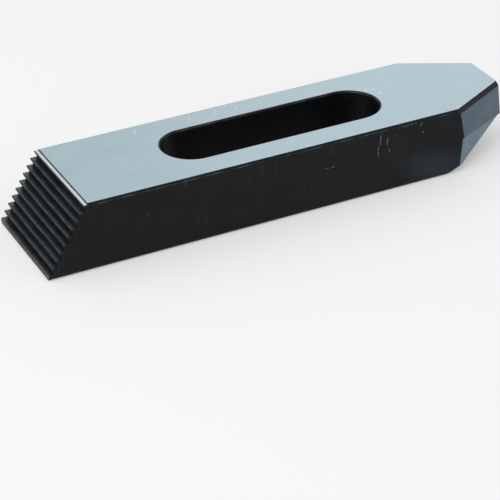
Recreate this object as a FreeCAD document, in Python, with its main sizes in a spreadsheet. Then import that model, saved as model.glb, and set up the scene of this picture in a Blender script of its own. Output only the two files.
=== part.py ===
import FreeCAD, Part
import Sketcher
import math
import os

# Step clamp: one forged and machined steel bar that lies on its back.
# Frame, in millimetres: X runs from the serrated heel (-X) to the tapered nose (+X), Y is the width,
# Z is up, and the origin is at the middle of the bar's box, at the bottom.
# The clamping face is up. In use the bar is turned over, with this face on the work
# and the heel's teeth on a step block.

NODE = "clamp_bar"

SIZES = {
    # the bar
    "bar_length": 150.0,
    "bar_width": 36.0,
    "bar_height": 20.6,
    "edge_chamfer": 0.6,
    # the stud slot, with its middle a little nearer to the nose
    "slot_width": 18.0,
    "slot_length": 68.4,
    "slot_offset": 2.0,
    "slot_chamfer": 0.4,
    # the serrated heel: each tooth is one run further back and one rise lower than the last
    "tooth_count": 10,
    "tooth_rise": 2.075,
    "tooth_run": 1.268,
    "tooth_undercut": 0.65,
    "tooth_land": 0.25,
    "tooth_root": 0.15,
    "first_drop": 0.33,
    "first_depth": 1.1,
    # the nose: tapered in plan, with draft above and below a forged parting line
    "nose_length": 18.9,
    "tip_width": 15.9,
    "tip_radius": 0.8,
    "parting_height": 10.0,
    "parting_tilt": 2.5,
    "parting_step": 0.3,
    "upper_draft": 5.5,
    "lower_draft": 2.5,
    "front_draft": 4.5,
    "nose_edge_width": 0.65,
    "nose_edge_height": 1.5,
    # the relief bevel under the nose
    "bevel_run": 23.6,
    "bevel_rise": 10.2,
    "bevel_blend": 6.0,
}

CLEAR = 8.0     # cutting outlines run this far past the bar
NEAR = 0.02     # how close a point lies to a face that it belongs to


def make_sheet(doc):
    """The driving dimensions, one alias for each."""
    sheet = doc.addObject("Spreadsheet::Sheet", "Dims")
    for row, (alias, value) in enumerate(SIZES.items(), start=1):
        sheet.set(f"A{row}", alias)
        sheet.set(f"B{row}", str(value))
        sheet.setAlias(f"B{row}", alias)
    doc.recompute()


def new_sketch(body, role, name):
    """An empty sketch on one of the body's own origin planes."""
    sketch = body.newObject("Sketcher::SketchObject", name)
    plane = next(f for f in body.Origin.OriginFeatures if f.Role == role)
    sketch.AttachmentSupport = [(plane, "")]
    sketch.MapMode = "FlatFace"
    return sketch


def pin_point(sketch, curve, end, across, up):
    """Holds one end of a curve at a place worked out from the sheet."""
    for kind, rule in (("DistanceX", across), ("DistanceY", up)):
        index = sketch.addConstraint(Sketcher.Constraint(kind, -1, 1, curve, end, 1.0))
        sketch.setExpression(f"Constraints[{index}]", rule)


def outline(sketch, corners):
    """A closed outline of straight lines, drawn as a regular figure that the rules pull into shape."""
    count = len(corners)
    turn = 2 * math.pi / count
    start = [FreeCAD.Vector(math.cos(turn * i), math.sin(turn * i), 0) for i in range(count)]
    for i in range(count):
        sketch.addGeometry(Part.LineSegment(start[i], start[(i + 1) % count]), False)
    for i in range(count):
        sketch.addConstraint(Sketcher.Constraint("Coincident", i, 2, (i + 1) % count, 1))
    for i, (across, up) in enumerate(corners):
        pin_point(sketch, i, 1, across, up)


def edges_where(shape, test):
    """The names of the edges that have all their points where the test says."""
    names = []
    for number, edge in enumerate(shape.Edges, start=1):
        if all(test(point) for point in edge.discretize(4)):
            names.append(f"Edge{number}")
    return names


def through_cut(body, sketch, name, length_rule):
    """A pocket from a sketch, the same distance to both sides of it."""
    pocket = body.newObject("PartDesign::Pocket", name)
    pocket.Profile = sketch
    pocket.Type = "Length"
    pocket.SideType = "Symmetric"
    pocket.setExpression("Length", length_rule)
    return pocket


def bar_blank(doc, body):
    """The side view: flat back, relief bevel, drafted nose end, clamping face and the heel's slope."""
    sketch = new_sketch(body, "XZ_Plane", "SideView")
    slope = "Dims.tooth_run / Dims.tooth_rise"
    front = "(Dims.bar_height - Dims.bevel_rise)"
    outline(sketch, [
        ("-Dims.bar_length / 2", "0"),
        ("Dims.bar_length / 2 - Dims.bevel_run", "0"),
        ("Dims.bar_length / 2", "Dims.bevel_rise"),
        (f"Dims.bar_length / 2 - ({front} - Dims.nose_edge_height) * tan(Dims.front_draft)",
         "Dims.bar_height - Dims.nose_edge_height"),
        (f"Dims.bar_length / 2 - {front} * tan(Dims.front_draft) - Dims.nose_edge_width",
         "Dims.bar_height"),
        (f"-Dims.bar_length / 2 + (Dims.tooth_count - 1) * Dims.tooth_run + Dims.first_drop * {slope}",
         "Dims.bar_height"),
        ("-Dims.bar_length / 2",
         "Dims.bar_height - Dims.first_drop - (Dims.tooth_count - 1) * Dims.tooth_rise"),
    ])
    blank = body.newObject("PartDesign::Pad", "Blank")
    blank.Profile = sketch
    blank.SideType = "Symmetric"
    blank.setExpression("Length", "Dims.bar_width")
    doc.recompute()
    return blank


def bevel_blend(doc, body, base):
    """The forged blend where the relief bevel leaves the flat back."""
    start = SIZES["bar_length"] / 2 - SIZES["bevel_run"]
    names = edges_where(base.Shape, lambda p: abs(p.z) < NEAR and abs(p.x - start) < NEAR)
    blend = body.newObject("PartDesign::Fillet", "BevelBlend")
    blend.Base = (base, names)
    blend.setExpression("Radius", "Dims.bevel_blend")
    doc.recompute()
    return blend


def facet_cut(doc, body, name, tilt, corners):
    """A cut along one side of the nose, whose sketch is the facet's section at the tip.

    In the sketch X points square out of the facet and Y points up, from the parting line.
    """
    sketch = new_sketch(body, "YZ_Plane", name + "Section")
    taper = "atan((Dims.bar_width - Dims.tip_width) / 2 / Dims.nose_length)"
    place = "vector(Dims.tip_width / 2; Dims.parting_height; Dims.bar_length / 2)"
    sketch.setExpression("AttachmentOffset", f"placement({place}; rotationy(-{taper}) * rotationx({tilt}))")
    outline(sketch, corners)
    pocket = through_cut(body, sketch, name, "4 * Dims.nose_length")
    doc.recompute()
    return pocket


def nose_sides(doc, body):
    """The nose's tapered sides: one facet above the parting line, one set in below it, and their mirror image.

    The upper one ends in a steep bevel along the clamping face.
    """
    height = "(Dims.bar_height - Dims.parting_height)"
    top = f"-{height} * tan(Dims.upper_draft) - Dims.nose_edge_width"
    upper = facet_cut(doc, body, "UpperFacet", "0", [
        (top, f"{height} + {CLEAR}"),
        (top, height),
        (f"-({height} - Dims.nose_edge_height) * tan(Dims.upper_draft)", f"{height} - Dims.nose_edge_height"),
        ("Dims.parting_height * tan(Dims.upper_draft)", "-Dims.parting_height"),
        ("Dims.bar_width", "-Dims.parting_height"),
        ("Dims.bar_width", f"{height} + {CLEAR}"),
    ])
    depth = f"(Dims.parting_height + {CLEAR})"
    lower = facet_cut(doc, body, "LowerFacet", "Dims.parting_tilt", [
        ("-Dims.parting_step", "0"),
        (f"-Dims.parting_step - {depth} * tan(Dims.lower_draft)", f"-{depth}"),
        ("Dims.bar_width", f"-{depth}"),
        ("Dims.bar_width", "0"),
    ])
    mirror = body.newObject("PartDesign::Mirrored", "OtherSide")
    mirror.Originals = [upper, lower]
    plane = next(f for f in body.Origin.OriginFeatures if f.Role == "XZ_Plane")
    mirror.MirrorPlane = (plane, [""])
    body.Tip = mirror
    doc.recompute()
    return mirror


def tip_corners(doc, body, base):
    """Rounds the two upright corners of the nose's tip."""
    half_tip = SIZES["tip_width"] / 2
    tip = SIZES["bar_length"] / 2
    slack = 3.0

    def at_corner(point):
        return point.x > tip - slack and abs(abs(point.y) - half_tip) < slack

    names = []
    for name in edges_where(base.Shape, at_corner):
        box = base.Shape.getElement(name).BoundBox
        if box.ZLength > SIZES["nose_edge_height"] / 2 and box.ZMax > SIZES["bar_height"] / 2 + 1:
            names.append(name)
    corners = body.newObject("PartDesign::Fillet", "TipCorners")
    corners.Base = (base, names)
    corners.setExpression("Radius", "Dims.tip_radius")
    doc.recompute()
    return corners


def long_edges(doc, body, base):
    """Breaks the bar's long edges, along the clamping face and along the back."""
    side = SIZES["bar_width"] / 2
    names = []
    for name in edges_where(base.Shape, lambda p: abs(abs(p.y) - side) < NEAR):
        middle = base.Shape.getElement(name).CenterOfMass
        if middle.z > SIZES["bar_height"] - NEAR or middle.z < NEAR:
            names.append(name)
    edges = body.newObject("PartDesign::Chamfer", "LongEdges")
    edges.Base = (base, names)
    edges.setExpression("Size", "Dims.edge_chamfer")
    doc.recompute()
    return edges


def stud_slot(doc, body):
    """The slot for the stud: two straight walls and two half-round ends."""
    sketch = new_sketch(body, "XY_Plane", "SlotPlan")
    radius = SIZES["slot_width"] / 2
    reach = SIZES["slot_length"] / 2 - radius
    middle = SIZES["slot_offset"]
    left = FreeCAD.Vector(middle - reach, 0, 0)
    right = FreeCAD.Vector(middle + reach, 0, 0)
    up = FreeCAD.Vector(0, radius, 0)
    nose_end = Part.ArcOfCircle(Part.Circle(right, FreeCAD.Vector(0, 0, 1), radius), -math.pi / 2, math.pi / 2)
    heel_end = Part.ArcOfCircle(Part.Circle(left, FreeCAD.Vector(0, 0, 1), radius), math.pi / 2, 3 * math.pi / 2)
    sketch.addGeometry(nose_end, False)
    sketch.addGeometry(Part.LineSegment(right + up, left + up), False)
    sketch.addGeometry(heel_end, False)
    sketch.addGeometry(Part.LineSegment(left - up, right - up), False)
    for curve, end, other, start in ((0, 2, 1, 1), (1, 2, 2, 1), (2, 2, 3, 1), (3, 2, 0, 1)):
        sketch.addConstraint(Sketcher.Constraint("Tangent", curve, end, other, start))
    pin_point(sketch, 0, 3, "Dims.slot_offset + (Dims.slot_length - Dims.slot_width) / 2", "0")
    pin_point(sketch, 2, 3, "Dims.slot_offset - (Dims.slot_length - Dims.slot_width) / 2", "0")
    index = sketch.addConstraint(Sketcher.Constraint("Radius", 0, radius))
    sketch.setExpression(f"Constraints[{index}]", "Dims.slot_width / 2")
    slot = through_cut(body, sketch, "StudSlot", "4 * Dims.bar_height")
    doc.recompute()
    return slot


def slot_edges(doc, body, base):
    """Breaks the slot's edge on both faces."""
    reach = SIZES["slot_length"] / 2 + NEAR
    half = SIZES["slot_width"] / 2 + NEAR

    def round_slot(point):
        flat = point.z < NEAR or point.z > SIZES["bar_height"] - NEAR
        return flat and abs(point.x - SIZES["slot_offset"]) < reach and abs(point.y) < half

    edges = body.newObject("PartDesign::Chamfer", "SlotEdges")
    edges.Base = (base, edges_where(base.Shape, round_slot))
    edges.setExpression("Size", "Dims.slot_chamfer")
    doc.recompute()
    return edges


def first_tread(doc, body):
    """The top tooth's tread, a shallow step below the clamping face."""
    sketch = new_sketch(body, "XZ_Plane", "FirstTreadView")
    tip = "(-Dims.bar_length / 2 + (Dims.tooth_count - 1) * Dims.tooth_run)"
    floor = "Dims.bar_height - Dims.first_drop"
    outline(sketch, [
        (f"{tip} - {CLEAR}", floor),
        (f"{tip} + Dims.first_depth", floor),
        (f"{tip} + Dims.first_depth", f"Dims.bar_height + {CLEAR}"),
        (f"{tip} - {CLEAR}", f"Dims.bar_height + {CLEAR}"),
    ])
    tread = through_cut(body, sketch, "FirstTread", "2 * Dims.bar_width")
    doc.recompute()
    return tread


def tooth_gap(doc, body):
    """The gap under the top tooth: a flat tread, a small root and a riser that leans in under the tooth.

    A construction line from this tooth's tip to the next gives the pattern its direction.
    """
    sketch = new_sketch(body, "XZ_Plane", "ToothGapView")
    tip = "(-Dims.bar_length / 2 + (Dims.tooth_count - 1) * Dims.tooth_run)"
    top = "(Dims.bar_height - Dims.first_drop)"
    back = "Dims.tooth_land * Dims.tooth_run / Dims.tooth_rise"
    outline(sketch, [
        (f"{tip} - {back}", f"{top} - Dims.tooth_land"),
        (f"{tip} + Dims.tooth_undercut", f"{top} - Dims.tooth_rise"),
        (f"{tip} - {CLEAR}", f"{top} - Dims.tooth_rise"),
        (f"{tip} - {CLEAR}", f"{top} - Dims.tooth_land"),
    ])
    guide = sketch.addGeometry(Part.LineSegment(FreeCAD.Vector(), FreeCAD.Vector(-1, -1, 0)), True)
    pin_point(sketch, guide, 1, tip, top)
    pin_point(sketch, guide, 2, f"{tip} - Dims.tooth_run", f"{top} - Dims.tooth_rise")
    gap = through_cut(body, sketch, "ToothGap", "2 * Dims.bar_width")
    doc.recompute()
    return gap


def tooth_root(doc, body, base):
    """Rounds the root of the gap."""
    tip = -SIZES["bar_length"] / 2 + (SIZES["tooth_count"] - 1) * SIZES["tooth_run"]
    floor = SIZES["bar_height"] - SIZES["first_drop"] - SIZES["tooth_rise"]
    root = tip + SIZES["tooth_undercut"]
    names = edges_where(base.Shape, lambda p: abs(p.x - root) < NEAR and abs(p.z - floor) < NEAR)
    fillet = body.newObject("PartDesign::Fillet", "ToothRoot")
    fillet.Base = (base, names)
    fillet.setExpression("Radius", "Dims.tooth_root")
    doc.recompute()
    return fillet


def teeth(doc, body, gap):
    """Repeats the gap down the heel's slope."""
    pattern = body.newObject("PartDesign::LinearPattern", "Teeth")
    pattern.Originals = [gap]
    pattern.Direction = (gap.Profile[0], ["Axis0"])
    pattern.Mode = "Spacing"
    pattern.setExpression("Offset", "sqrt(Dims.tooth_run ^ 2 + Dims.tooth_rise ^ 2)")
    pattern.setExpression("Occurrences", "Dims.tooth_count - 1")
    body.Tip = pattern
    doc.recompute()
    return pattern


def clamp_bar(doc):
    """The whole clamp, one solid."""
    body = doc.addObject("PartDesign::Body", NODE)
    body.Label = NODE
    body.Placement = FreeCAD.Placement()
    blank = bar_blank(doc, body)
    bevel_blend(doc, body, blank)
    sides = nose_sides(doc, body)
    corners = tip_corners(doc, body, sides)
    long_edges(doc, body, corners)
    slot = stud_slot(doc, body)
    slot_edges(doc, body, slot)
    first_tread(doc, body)
    gap = tooth_gap(doc, body)
    teeth(doc, body, gap)
    return body


def check(doc, parts):
    """Stops if any feature failed or any sub-part isn't one valid solid."""
    for item in doc.Objects:
        if "Invalid" in item.State or "Error" in item.State:
            raise RuntimeError(f"{item.Name} failed: {item.State}")
    for item in parts:
        if item.Shape.isNull() or not item.Shape.isValid() or len(item.Shape.Solids) != 1:
            raise RuntimeError(f"{item.Label} isn't one valid solid")


def main():
    doc = FreeCAD.newDocument("StepClamp")
    make_sheet(doc)
    parts = [clamp_bar(doc)]
    doc.recompute()
    check(doc, parts)
    os.makedirs("parts", exist_ok=True)
    for item in parts:
        item.Shape.exportStep(f"parts/{item.Label}.step")
        box = item.Shape.BoundBox
        print(item.Label, round(item.Shape.Volume, 1), box)


main()
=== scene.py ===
import math

import bmesh
import bpy
from mathutils import Matrix, Vector


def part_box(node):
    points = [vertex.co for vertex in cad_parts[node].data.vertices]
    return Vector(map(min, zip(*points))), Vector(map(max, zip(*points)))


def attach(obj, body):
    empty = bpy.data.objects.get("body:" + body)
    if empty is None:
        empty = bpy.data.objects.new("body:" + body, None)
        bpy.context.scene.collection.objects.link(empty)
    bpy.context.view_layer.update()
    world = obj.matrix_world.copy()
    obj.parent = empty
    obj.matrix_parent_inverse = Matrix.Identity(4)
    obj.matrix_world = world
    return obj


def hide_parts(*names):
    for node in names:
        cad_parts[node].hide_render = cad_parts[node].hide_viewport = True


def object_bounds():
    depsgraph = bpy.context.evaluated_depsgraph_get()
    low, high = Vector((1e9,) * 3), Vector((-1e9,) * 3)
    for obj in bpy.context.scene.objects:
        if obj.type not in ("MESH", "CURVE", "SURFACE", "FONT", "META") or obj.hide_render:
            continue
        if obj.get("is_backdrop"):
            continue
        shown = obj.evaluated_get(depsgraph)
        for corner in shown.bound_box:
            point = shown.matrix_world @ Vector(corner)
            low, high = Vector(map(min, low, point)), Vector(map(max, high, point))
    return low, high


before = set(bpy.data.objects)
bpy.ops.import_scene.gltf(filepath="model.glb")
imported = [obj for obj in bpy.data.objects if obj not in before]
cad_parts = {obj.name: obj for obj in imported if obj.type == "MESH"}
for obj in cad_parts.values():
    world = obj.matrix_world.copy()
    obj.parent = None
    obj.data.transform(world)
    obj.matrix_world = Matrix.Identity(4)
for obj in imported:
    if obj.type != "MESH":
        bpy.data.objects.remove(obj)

# Step clamp: one bar of black-finished steel that lies on its back, with its ground clamping face up.
# Lengths are in metres, in the part's own frame: X runs from the toothed heel to the nose, Z is up.

NODE = "clamp_bar"
MM = 0.001

cad_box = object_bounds()
low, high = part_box(NODE)

# ---------------------------------------------------------------- places on the clamp
FIRST_TREAD = 0.33 * MM         # how far the first tread lies below the clamping face
HEEL_BACK = low.x + 12.6 * MM   # the teeth lie between here and the heel's end
NOSE_START = high.x - 22.0 * MM  # the nose's tapered sides lie between here and its end
PARTING = 10.5 * MM             # about the height of the forged parting line
NEAR = 0.05 * MM

# ---------------------------------------------------------------- edges
EDGE_BREAK = 0.16 * MM          # width of the rounding on a sharp edge
TOOTH_BREAK = 0.35              # share of that width on the heel's fine edges
SHARP = math.radians(14)        # an edge that turns more than this is sharp
SHORT_EDGE = 0.3 * MM           # edges this short, and their neighbours, stay as they are

# ---------------------------------------------------------------- camera
CAMERA_AZIMUTH = math.radians(26.579)
CAMERA_ELEVATION = math.radians(30.915)
CAMERA_ROLL = math.radians(0.8545)
CAMERA_PLACE = Vector((-226.97, -442.63, 277.14)) * MM
SENSOR = 36.0
LENS = 141.08


# ================================================================ material nodes
class Nodes:
    """A material's node tree, with one short call for each kind of node."""

    def __init__(self, name):
        self.material = bpy.data.materials.new(name)
        self.material.use_nodes = True
        self.tree = self.material.node_tree
        self.tree.nodes.clear()
        self.place = self.add("ShaderNodeTexCoord").outputs["Object"]

    def add(self, kind, **inputs):
        node = self.tree.nodes.new(kind)
        for name, value in inputs.items():
            self.put(node.inputs[name.replace("_", " ")], value)
        return node

    def put(self, socket, value):
        if isinstance(value, bpy.types.NodeSocket):
            self.tree.links.new(value, socket)
        else:
            socket.default_value = value

    def math(self, operation, first, second=0.0):
        node = self.tree.nodes.new("ShaderNodeMath")
        node.operation = operation
        self.put(node.inputs[0], first)
        self.put(node.inputs[1], second)
        return node.outputs[0]

    def stretch(self, scale):
        """The place on the clamp, scaled by that much along each axis."""
        node = self.add("ShaderNodeMapping", Vector=self.place, Scale=scale)
        return node.outputs["Vector"]

    def noise(self, scale, detail=3.0, roughness=0.5):
        """Noise with that many cells to the metre along X, Y and Z."""
        node = self.add("ShaderNodeTexNoise", Vector=self.stretch(scale), Scale=1.0, Detail=detail)
        node.inputs["Roughness"].default_value = roughness
        return node.outputs["Fac"]

    def span(self, value, start, end, low_out=0.0, high_out=1.0):
        """Maps start..end to low_out..high_out, clamped, with a smooth change between."""
        node = self.add("ShaderNodeMapRange", Value=value)
        node.interpolation_type = "SMOOTHSTEP"
        for name, number in (("From Min", start), ("From Max", end), ("To Min", low_out), ("To Max", high_out)):
            node.inputs[name].default_value = number
        return node.outputs["Result"]

    def mix(self, share, first, second):
        node = self.tree.nodes.new("ShaderNodeMix")
        node.data_type = "RGBA"
        self.put(node.inputs["Factor"], share)
        for socket, colour in ((node.inputs[6], first), (node.inputs[7], second)):
            self.put(socket, colour if isinstance(colour, bpy.types.NodeSocket) else (*colour, 1.0))
        return node.outputs[2]

    def marks(self, marks):
        """A mask of thin marks. Each has a middle, a turn about X, Y or Z, and half sizes, all in mm and degrees."""
        mask = 0.0
        for middle, turn, half in marks:
            node = self.add("ShaderNodeMapping", Vector=self.place)
            node.vector_type = "TEXTURE"
            node.inputs["Location"].default_value = Vector(middle) * MM
            node.inputs["Rotation"].default_value = [math.radians(angle) for angle in turn]
            node.inputs["Scale"].default_value = Vector(half) * MM
            ball = self.add("ShaderNodeTexGradient", Vector=node.outputs["Vector"])
            ball.gradient_type = "SPHERICAL"
            mask = self.math("MAXIMUM", ball.outputs["Fac"], mask)
        return mask

    def finish(self, colour, roughness, metallic, specular, height, depth):
        """The surface shader, with a bump from height, depth metres deep."""
        bump = self.add("ShaderNodeBump", Height=height, Strength=1.0, Distance=depth)
        shader = self.add("ShaderNodeBsdfPrincipled", Base_Color=colour, Roughness=roughness)
        shader.inputs["Metallic"].default_value = metallic
        shader.inputs["Specular IOR Level"].default_value = specular
        self.put(shader.inputs["Normal"], bump.outputs["Normal"])
        output = self.tree.nodes.new("ShaderNodeOutputMaterial")
        self.tree.links.new(shader.outputs[0], output.inputs["Surface"])
        return self.material


# ================================================================ materials
def ground_face(name, dark, pale):
    """Ground steel: fine lengthwise lines, soft mottling, and a few rubs and scratches."""
    n = Nodes(name)
    lines = n.noise((60, 4200, 4200), 2.0)
    mottle = n.noise((70, 110, 110), 4.0, 0.6)
    cloud = n.noise((18, 30, 30), 2.0)
    colour = n.mix(n.span(mottle, 0.3, 0.7), dark, pale)
    colour = n.mix(n.span(cloud, 0.35, 0.7, 0.0, 0.35), colour, dark)
    colour = n.mix(n.span(lines, 0.35, 0.75, 0.0, 0.22), colour, pale)
    rubs = n.marks([
        ((29, 6.5, 20.6), (0, 0, 12), (8, 3.4, 3)),
        ((36, 5.5, 20.6), (0, 0, -20), (6, 2.5, 3)),
        ((41, 3.0, 20.6), (0, 0, 10), (4, 2.0, 3)),
        ((-43, -6.5, 20.6), (0, 0, 15), (2.6, 0.7, 1)),
        ((-46, -13.5, 20.6), (0, 0, 30), (2.0, 0.5, 1)),
    ])
    flecks = n.span(n.noise((420, 700, 700), 4.0, 0.7), 0.5, 0.68)
    rub = n.math("MULTIPLY", n.span(rubs, 0.0, 0.7), flecks)
    scratches = n.marks([
        ((-34.5, 14.2, 20.6), (0, 0, 58), (2.4, 0.16, 1)),
        ((-33.6, 13.6, 20.6), (0, 0, 55), (1.6, 0.12, 1)),
        ((-17.5, 14.0, 20.6), (0, 0, 57), (2.2, 0.12, 1)),
        ((-9.0, 14.4, 20.6), (0, 0, 60), (2.0, 0.13, 1)),
        ((-2.5, 13.8, 20.6), (0, 0, 50), (1.6, 0.12, 1)),
        ((34.5, 4.2, 20.6), (0, 0, 25), (1.5, 0.35, 1)),
        ((28.6, 5.9, 20.6), (0, 0, 10), (1.2, 0.35, 1)),
    ])
    bright = n.math("MAXIMUM", n.math("MULTIPLY", rub, 0.55), n.span(scratches, 0.0, 0.8, 0.0, 0.7))
    colour = n.mix(bright, colour, (0.80, 0.85, 0.87))
    roughness = n.span(n.math("ADD", mottle, n.math("MULTIPLY", lines, 0.4)), 0.4, 1.0, 0.30, 0.42)
    return n.finish(colour, roughness, 1.0, 0.5, lines, 0.004 * MM)


def black_oxide(name, black, worn, scratches_and_painted_reflection=False):
    """Machined, blackened steel: a near black skin with fine upright cutter marks and slight wear; on the near side
    also light scratches, a painted highlight on a burr by the heel and a painted reflection of the floor towards the
    nose.
    """
    n = Nodes(name)
    lines = n.noise((2600, 2600, 90), 3.0, 0.6)
    patch = n.noise((55, 55, 120), 3.0)
    grain = n.noise((900, 900, 900), 3.0)
    streak = n.math("MULTIPLY", n.span(lines, 0.52, 0.78), n.span(patch, 0.42, 0.66))
    colour = n.mix(n.math("MULTIPLY", streak, 0.55), black, worn)
    colour = n.mix(n.span(patch, 0.4, 0.75, 0.0, 0.3), colour, (0.012, 0.013, 0.022))
    if scratches_and_painted_reflection:
        places = n.marks([
            ((27.5, -18, 17.3), (0, 4, 0), (0.25, 1, 3.2)),
            ((26.8, -18, 13.8), (0, -3, 0), (0.22, 1, 2.6)),
            ((29.8, -18, 16.2), (0, 8, 0), (0.25, 1, 2.4)),
            ((30.5, -18, 13.4), (0, -5, 0), (0.2, 1, 2.0)),
            ((41.0, -18, 19.2), (0, 25, 0), (0.3, 1, 1.6)),
            ((41.4, -18, 16.6), (0, -50, 0), (0.22, 1, 1.0)),
            ((40.2, -18, 16.9), (0, 10, 0), (0.2, 1, 1.1)),
            ((11.5, -18, 12.6), (0, 0, 0), (2.8, 1, 0.22)),
            ((-46.0, -18, 12.4), (0, -12, 0), (1.4, 1, 0.3)),
            ((-33.8, -18, 19.0), (0, 4, 0), (0.12, 1, 0.9)),
            # the next mark, by the heel, is a painted highlight on a burr at a tooth end; the others are scratches
            ((-72.0, -18, 2.6), (0, 0, 0), (0.3, 1, 0.35)),
            ((37.0, -18, 19.6), (0, 86, 0), (0.14, 1, 5.5)),
        ])
        scratches_and_burr_highlight = n.math("MULTIPLY", n.span(places, 0.0, 0.6), n.span(n.noise((1500, 1500, 700), 3.0), 0.42, 0.6))
        colour = n.mix(n.math("MULTIPLY", scratches_and_burr_highlight, 0.8), colour, (0.20, 0.22, 0.24))
        # a bluish patch low on the side towards the nose: painted reflection of the floor
        painted_floor_reflection = n.marks([((47, -18, 3), (0, 20, 0), (17, 3, 8))])
        colour = n.mix(n.span(painted_floor_reflection, 0.0, 0.9, 0.0, 0.75), colour, (0.030, 0.042, 0.060))
    roughness = n.span(grain, 0.3, 0.7, 0.38, 0.5)
    height = n.math("ADD", n.math("MULTIPLY", lines, 0.6), n.math("MULTIPLY", grain, 0.4))
    return n.finish(colour, roughness, 0.0, 0.16, height, 0.006 * MM)


def forged_facet(name, dark, pale):
    """The nose's forged sides: satin steel with soft clouding and faint upright lines, its colour lighter than the
    black sides as painted light.
    """
    n = Nodes(name)
    cloud = n.noise((160, 160, 130), 4.0, 0.6)
    lines = n.noise((1500, 1500, 110), 2.0)
    grain = n.noise((1100, 1100, 1100), 2.0)
    colour = n.mix(n.span(cloud, 0.3, 0.7), dark, pale)
    colour = n.mix(n.span(lines, 0.45, 0.8, 0.0, 0.35), colour, pale)
    colour = n.mix(n.span(grain, 0.55, 0.8, 0.0, 0.3), colour, dark)
    roughness = n.span(cloud, 0.3, 0.7, 0.42, 0.54)
    height = n.math("ADD", n.math("MULTIPLY", cloud, 0.7), n.math("MULTIPLY", grain, 0.3))
    return n.finish(colour, roughness, 0.85, 0.5, height, 0.012 * MM)


def edge_wear_and_highlight(name, dark, bare_and_highlight):
    """Edges lighter than the black skin, more in some places than in others: partly rubbed through to the steel,
    partly a painted highlight of the rounding.
    """
    n = Nodes(name)
    rub = n.noise((260, 260, 260), 4.0, 0.65)
    colour = n.mix(n.span(rub, 0.38, 0.68), dark, bare_and_highlight)
    return n.finish(colour, n.span(rub, 0.3, 0.7, 0.5, 0.34), 0.8, 0.4, rub, 0.004 * MM)


GROUND, BRIGHT, SIDE, BLACK, TREAD, FACET, LOWER_FACET, BAND, LAND, EDGE = range(10)


def clamp_materials():
    """One for each zone, in the order of the zones' numbers."""
    return [
        ground_face("ground_face", (0.335, 0.435, 0.480), (0.385, 0.485, 0.525)),
        # the first tread: a paler copy of the ground finish, a painted highlight
        ground_face("first_tread_painted_highlight", (0.50, 0.57, 0.60), (0.58, 0.64, 0.67)),
        black_oxide("black_side", (0.0050, 0.0056, 0.0064), (0.050, 0.055, 0.060), scratches_and_painted_reflection=True),
        # a darker copy of the side's black finish on the slot walls, the heel's risers and the other faces of that
        # zone: painted shade
        black_oxide("black_inside_painted_shade", (0.0030, 0.0034, 0.0045), (0.020, 0.024, 0.030)),
        # the lower treads: a darker copy of the ground finish, painted shade for the dark risers they reflect
        ground_face("lower_tread_painted_shade", (0.060, 0.072, 0.080), (0.090, 0.105, 0.115)),
        # the nose facets are lighter copies of the black finish, painted light; the lower facet, brighter still, is
        # a painted highlight
        forged_facet("nose_facet_painted_light", (0.075, 0.110, 0.145), (0.105, 0.150, 0.190)),
        forged_facet("nose_lower_facet_painted_light", (0.135, 0.200, 0.250), (0.185, 0.260, 0.310)),
        black_oxide("nose_band", (0.0090, 0.0110, 0.0150), (0.030, 0.036, 0.045)),
        # the tooth lands' lighter colour is a painted highlight of the tooth tips; on the rounded edges it is partly
        # wear, partly painted highlight
        edge_wear_and_highlight("tooth_land", (0.020, 0.021, 0.022), (0.060, 0.062, 0.064)),
        edge_wear_and_highlight("edge_wear_and_highlight", (0.012, 0.014, 0.017), (0.060, 0.068, 0.078)),
    ]


# ================================================================ the clamp
def zone(normal, middle):
    """The number of the zone that a face of the clamp belongs to."""
    on_top = normal.z > 0.999
    if on_top and middle.z > high.z - NEAR:
        return GROUND
    if on_top and middle.z > high.z - FIRST_TREAD - NEAR:
        return BRIGHT
    if middle.x < HEEL_BACK and normal.x < -0.1:
        return LAND if normal.z > 0 or middle.z < 2 * MM else BLACK
    if middle.x < HEEL_BACK and on_top:
        return TREAD
    if middle.x < HEEL_BACK and normal.z < -0.1 and middle.z > MM:
        return BLACK
    if middle.x > NOSE_START and normal.x > 0.3 and abs(normal.z) < 0.2:
        return FACET if middle.z > PARTING else LOWER_FACET
    if middle.x > NOSE_START and normal.x > 0.2 and normal.z > 0.2:
        return BAND
    if abs(normal.y) > 0.99 and abs(middle.y) > high.y - NEAR:
        return SIDE
    return BLACK


def sharp_edges(bm):
    """The edges to round, each with its share of the full width."""
    tight = set()
    for edge in bm.edges:
        if edge.calc_length() < SHORT_EDGE and edge.verts[0].co.x > NOSE_START:
            tight.update(edge.verts)
    for edge in bm.edges:
        turned = len(edge.link_faces) == 2 and edge.calc_face_angle() > SHARP
        if turned and tight.isdisjoint(edge.verts):
            heel = max(v.co.x for v in edge.verts) < HEEL_BACK
            yield edge, TOOTH_BREAK if heel else 1.0


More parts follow.
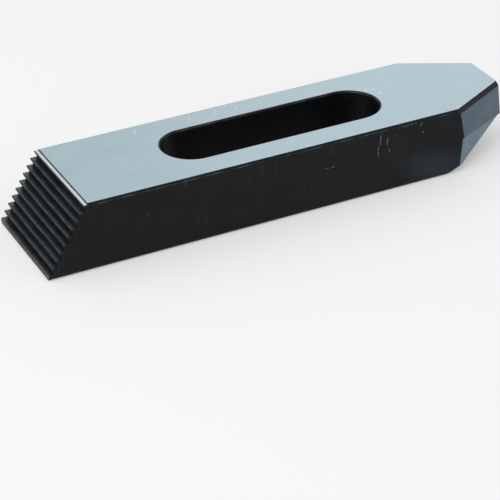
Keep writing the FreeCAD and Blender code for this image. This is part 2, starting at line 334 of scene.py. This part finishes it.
def clamp_piece():
    """The clamp with its own surface, its flat faces whole, its zones marked and its sharp edges rounded."""
    bm = bmesh.new()
    bm.from_mesh(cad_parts[NODE].data)
    bmesh.ops.remove_doubles(bm, verts=bm.verts, dist=0.02 * MM)
    flat = math.radians(1)
    bmesh.ops.dissolve_limit(bm, angle_limit=flat, verts=bm.verts, edges=bm.edges)
    bm.normal_update()
    for face in bm.faces:
        face.material_index = zone(face.normal, face.calc_center_median())
        face.smooth = True
    weight = bm.edges.layers.float.new("bevel_weight_edge")
    for edge, share in sharp_edges(bm):
        edge[weight] = share
    mesh = bpy.data.meshes.new("step_clamp")
    bm.to_mesh(mesh)
    bm.free()
    for material in clamp_materials():
        mesh.materials.append(material)
    piece = bpy.data.objects.new("step_clamp", mesh)
    bpy.context.scene.collection.objects.link(piece)
    bevel = piece.modifiers.new("edges", "BEVEL")
    bevel.limit_method = "WEIGHT"
    bevel.width = EDGE_BREAK
    bevel.segments = 2
    bevel.material = EDGE
    bevel.use_clamp_overlap = False
    normals = piece.modifiers.new("flat_faces", "WEIGHTED_NORMAL")
    normals.weight = 100
    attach(piece, "root")
    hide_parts(NODE)
    return piece


# ================================================================ the studio
def seen_directly(nodes):
    """1 for what the camera sees straight, in a reflection or through glass, else 0."""
    path = nodes.add("ShaderNodeLightPath").outputs
    seen = nodes.math("MAXIMUM", path["Is Camera Ray"], path["Is Glossy Ray"])
    return nodes.math("MAXIMUM", seen, path["Is Transmission Ray"])


def make_floor():
    """A wide white floor that keeps the clamp's soft shadow."""
    n = Nodes("floor")
    paper = n.add("ShaderNodeBsdfDiffuse")
    paper.inputs["Color"].default_value = (0.86, 0.86, 0.86, 1.0)
    lift = n.add("ShaderNodeEmission", Strength=n.math("MULTIPLY", seen_directly(n), 0.30))
    both = n.tree.nodes.new("ShaderNodeAddShader")
    n.tree.links.new(paper.outputs[0], both.inputs[0])
    n.tree.links.new(lift.outputs[0], both.inputs[1])
    output = n.tree.nodes.new("ShaderNodeOutputMaterial")
    n.tree.links.new(both.outputs[0], output.inputs["Surface"])
    mesh = bpy.data.meshes.new("floor")
    reach = 3.0
    mesh.from_pydata([(-reach, -reach, 0), (reach, -reach, 0), (reach, reach, 0), (-reach, reach, 0)], [],
                     [(0, 1, 2, 3)])
    mesh.materials.append(n.material)
    floor = bpy.data.objects.new("floor", mesh)
    floor.location.z = low.z - 0.02 * MM
    bpy.context.scene.collection.objects.link(floor)
    floor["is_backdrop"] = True


def make_world():
    """Even pale light from all round, seen as white."""
    world = bpy.data.worlds.new("studio")
    bpy.context.scene.world = world
    world.use_nodes = True
    tree = world.node_tree
    background = tree.nodes["Background"]
    path = tree.nodes.new("ShaderNodeLightPath").outputs
    seen = tree.nodes.new("ShaderNodeMath")
    seen.operation = "MAXIMUM"
    tree.links.new(path["Is Camera Ray"], seen.inputs[0])
    tree.links.new(path["Is Glossy Ray"], seen.inputs[1])
    through = tree.nodes.new("ShaderNodeMath")
    through.operation = "MAXIMUM"
    tree.links.new(seen.outputs[0], through.inputs[0])
    tree.links.new(path["Is Transmission Ray"], through.inputs[1])
    strength = tree.nodes.new("ShaderNodeMapRange")
    strength.inputs["To Min"].default_value = 0.55
    strength.inputs["To Max"].default_value = 1.0
    tree.links.new(through.outputs[0], strength.inputs["Value"])
    tree.links.new(strength.outputs["Result"], background.inputs["Strength"])
    background.inputs["Color"].default_value = (1.0, 1.0, 1.0, 1.0)


def soft_light(name, place, size, radiance):
    """A square soft box that faces the clamp."""
    data = bpy.data.lights.new(name, "AREA")
    data.size = size
    data.energy = radiance * math.pi * size * size
    light = bpy.data.objects.new(name, data)
    light.location = place
    light.rotation_mode = "QUATERNION"
    light.rotation_quaternion = Vector(place).to_track_quat("Z", "Y")
    bpy.context.scene.collection.objects.link(light)


def make_camera():
    """From the left front, a third of the way up."""
    cos_e, sin_e = math.cos(CAMERA_ELEVATION), math.sin(CAMERA_ELEVATION)
    look = Vector((math.sin(CAMERA_AZIMUTH) * cos_e, math.cos(CAMERA_AZIMUTH) * cos_e, -sin_e))
    level = look.cross(Vector((0, 0, 1))).normalized()
    turn = Matrix.Rotation(CAMERA_ROLL, 3, look)
    right, up = turn @ level, turn @ level.cross(look)
    data = bpy.data.cameras.new("camera")
    data.lens, data.sensor_width = LENS, SENSOR
    data.clip_start, data.clip_end = 0.01, 20
    camera = bpy.data.objects.new("camera", data)
    bpy.context.scene.collection.objects.link(camera)
    camera.matrix_world = Matrix((right, up, -look)).transposed().to_4x4()
    camera.location = CAMERA_PLACE
    bpy.context.scene.camera = camera


# ================================================================ the scene
clamp_piece()
make_floor()
make_world()
soft_light("key", (-0.35, -0.15, 0.75), 0.45, 2.2)
soft_light("back", (0.50, 0.62, 0.48), 0.50, 0.30)
make_camera()
bpy.context.scene.view_settings.view_transform = "Standard"

boxes = {"cad": cad_box, "visual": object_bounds()}
{name: [list(corner) for corner in box] for name, box in boxes.items()}
